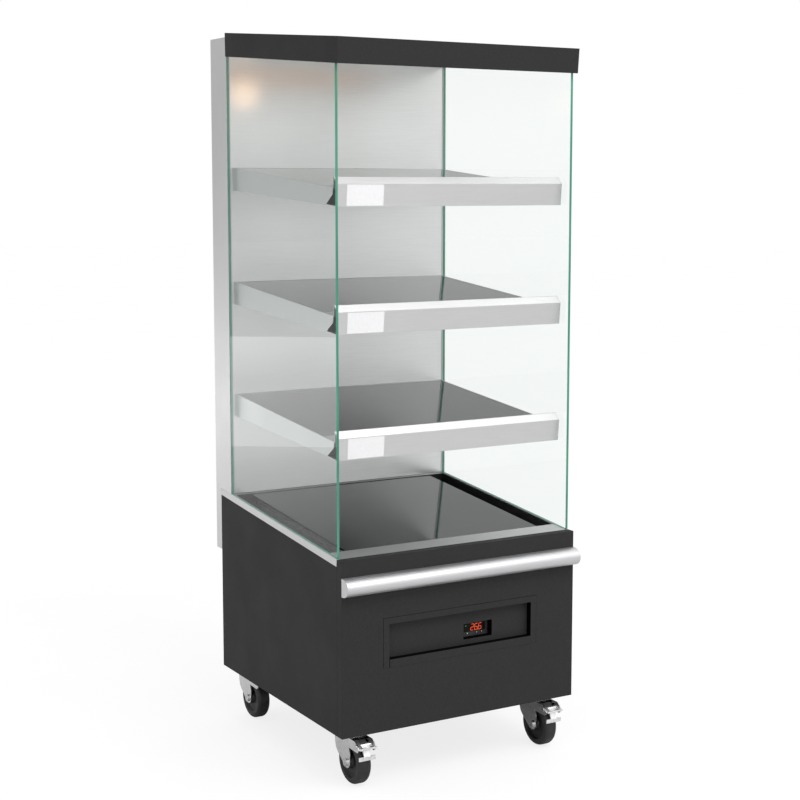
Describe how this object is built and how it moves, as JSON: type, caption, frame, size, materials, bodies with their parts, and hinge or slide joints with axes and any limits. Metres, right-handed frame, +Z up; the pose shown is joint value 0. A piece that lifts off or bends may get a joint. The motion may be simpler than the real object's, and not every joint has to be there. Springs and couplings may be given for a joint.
{
  "type": "hot food display case",
  "caption": "Upright open-front heated merchandiser on castors: black base cabinet and canopy, sloping heated glass-ceramic shelves between clear side panes, satin steel rear housing.",
  "frame": {"origin": "on the floor under the middle of the case (middle of the bounding box's underside)", "axes": "+X to the customer's right, +Y from the open front to the rear housing, +Z up"},
  "size_m": [0.603, 0.677, 1.6455],
  "materials": {
    "black_panel": "fine-textured black powder coat",
    "galvanised": "galvanised sheet",
    "satin_steel": "satin stainless sheet",
    "black_ceramic": "polished black glass-ceramic",
    "well_black": "satin black",
    "heater_foil": "foil-faced heating mat",
    "aluminium_rail": "satin anodised",
    "black_plastic": "matt moulded",
    "display_lens": "smoked, glossy",
    "key_rubber": "matt moulded",
    "clear_glass": "clear toughened float glass",
    "silicone": "translucent silicone",
    "reflector": "polished",
    "quartz": "quartz heating tube",
    "zinc": "bright zinc plate",
    "bolt_steel": "zinc plated",
    "black_rubber": "smooth black tyre"
  },
  "bodies": {
    "case": {"castor_plates": "black_panel", "front_panel": "black_panel", "left_side_panel": "black_panel", "right_side_panel": "black_panel", "console_fascia": "black_panel", "canopy_shell": "black_panel", "base_pan": "galvanised", "base_rear_panel": "galvanised", "housing_uprights": "galvanised", "shelf_brackets": "galvanised", "deck_frame": "satin_steel", "housing_left_side": "satin_steel", "housing_right_side": "satin_steel", "back_wall": "satin_steel", "housing_rear_cover": "satin_steel", "canopy_liner": "satin_steel", "shelf_1_frame": "satin_steel", "shelf_2_frame": "satin_steel", "shelf_3_frame": "satin_steel", "shelf_1_bottom": "satin_steel", "shelf_2_bottom": "satin_steel", "shelf_3_bottom": "satin_steel", "deck_glass": "black_ceramic", "shelf_1_glass": "black_ceramic", "shelf_2_glass": "black_ceramic", "shelf_3_glass": "black_ceramic", "deck_well": "well_black", "deck_heater": "heater_foil", "shelf_heaters": "heater_foil", "bumper_rail": "aluminium_rail", "bumper_end_caps": "aluminium_rail", "controller_body": "black_plastic", "cable_gland": "black_plastic", "main_switch_body": "black_plastic", "power_relays": "black_plastic", "controller_lens": "display_lens", "side_glass_left": "clear_glass", "side_glass_right": "clear_glass", "glass_gaskets": "silicone", "lamp_reflector": "reflector", "lamp_tubes": "quartz", "cover_screws": "bolt_steel"},
    "castor_front_left": {"fork_front_left": "zinc", "axle_front_left": "bolt_steel"},
    "roller_front_left": {"wheel_front_left": "black_rubber"},
    "castor_front_right": {"fork_front_right": "zinc", "axle_front_right": "bolt_steel"},
    "roller_front_right": {"wheel_front_right": "black_rubber"},
    "castor_rear_left": {"fork_rear_left": "zinc", "axle_rear_left": "bolt_steel"},
    "roller_rear_left": {"wheel_rear_left": "black_rubber"},
    "castor_rear_right": {"fork_rear_right": "zinc", "axle_rear_right": "bolt_steel"},
    "roller_rear_right": {"wheel_rear_right": "black_rubber"},
    "brake_front_left": {"brake_pedal_front_left": "zinc"},
    "brake_front_right": {"brake_pedal_front_right": "zinc"},
    "set_key": {"set_key": "key_rubber"},
    "up_key": {"up_key": "key_rubber"},
    "down_key": {"down_key": "key_rubber"},
    "main_switch_rocker": {"main_switch_rocker": "black_plastic"}
  },
  "joints": [
    {"name": "swivel_front_left", "type": "hinge", "parent": "case", "child": "castor_front_left", "pos_m": [-0.238, -0.2295, 0.11], "axis": [0, 0, 1], "continuous": true},
    {"name": "roll_front_left", "type": "hinge", "parent": "castor_front_left", "child": "roller_front_left", "pos_m": [-0.238, -0.2515, 0.05], "axis": [1, 0, 0], "continuous": true},
    {"name": "brake_front_left", "type": "hinge", "parent": "castor_front_left", "child": "brake_front_left", "pos_m": [-0.238, -0.2955, 0.097], "axis": [1, 0, 0], "range_deg": [0, 12]},
    {"name": "swivel_front_right", "type": "hinge", "parent": "case", "child": "castor_front_right", "pos_m": [0.252, -0.2295, 0.11], "axis": [0, 0, 1], "continuous": true},
    {"name": "roll_front_right", "type": "hinge", "parent": "castor_front_right", "child": "roller_front_right", "pos_m": [0.252, -0.2515, 0.05], "axis": [1, 0, 0], "continuous": true},
    {"name": "brake_front_right", "type": "hinge", "parent": "castor_front_right", "child": "brake_front_right", "pos_m": [0.252, -0.2955, 0.097], "axis": [1, 0, 0], "range_deg": [0, 12]},
    {"name": "swivel_rear_left", "type": "hinge", "parent": "case", "child": "castor_rear_left", "pos_m": [-0.238, 0.2775, 0.11], "axis": [0, 0, 1], "continuous": true},
    {"name": "roll_rear_left", "type": "hinge", "parent": "castor_rear_left", "child": "roller_rear_left", "pos_m": [-0.238, 0.2555, 0.05], "axis": [1, 0, 0], "continuous": true},
    {"name": "swivel_rear_right", "type": "hinge", "parent": "case", "child": "castor_rear_right", "pos_m": [0.252, 0.2775, 0.11], "axis": [0, 0, 1], "continuous": true},
    {"name": "roll_rear_right", "type": "hinge", "parent": "castor_rear_right", "child": "roller_rear_right", "pos_m": [0.252, 0.2555, 0.05], "axis": [1, 0, 0], "continuous": true},
    {"name": "press_set_key", "type": "slide", "parent": "case", "child": "set_key", "axis": [0, 1, 0], "range_m": [0, 0.0006], "stiffness_N_per_m": 400},
    {"name": "press_up_key", "type": "slide", "parent": "case", "child": "up_key", "axis": [0, 1, 0], "range_m": [0, 0.0006], "stiffness_N_per_m": 400},
    {"name": "press_down_key", "type": "slide", "parent": "case", "child": "down_key", "axis": [0, 1, 0], "range_m": [0, 0.0006], "stiffness_N_per_m": 400},
    {"name": "switch_rock", "type": "hinge", "parent": "case", "child": "main_switch_rocker", "pos_m": [-0.224, 0.3028, 0.215], "axis": [1, 0, 0], "range_deg": [-16, 0]}
  ]
}
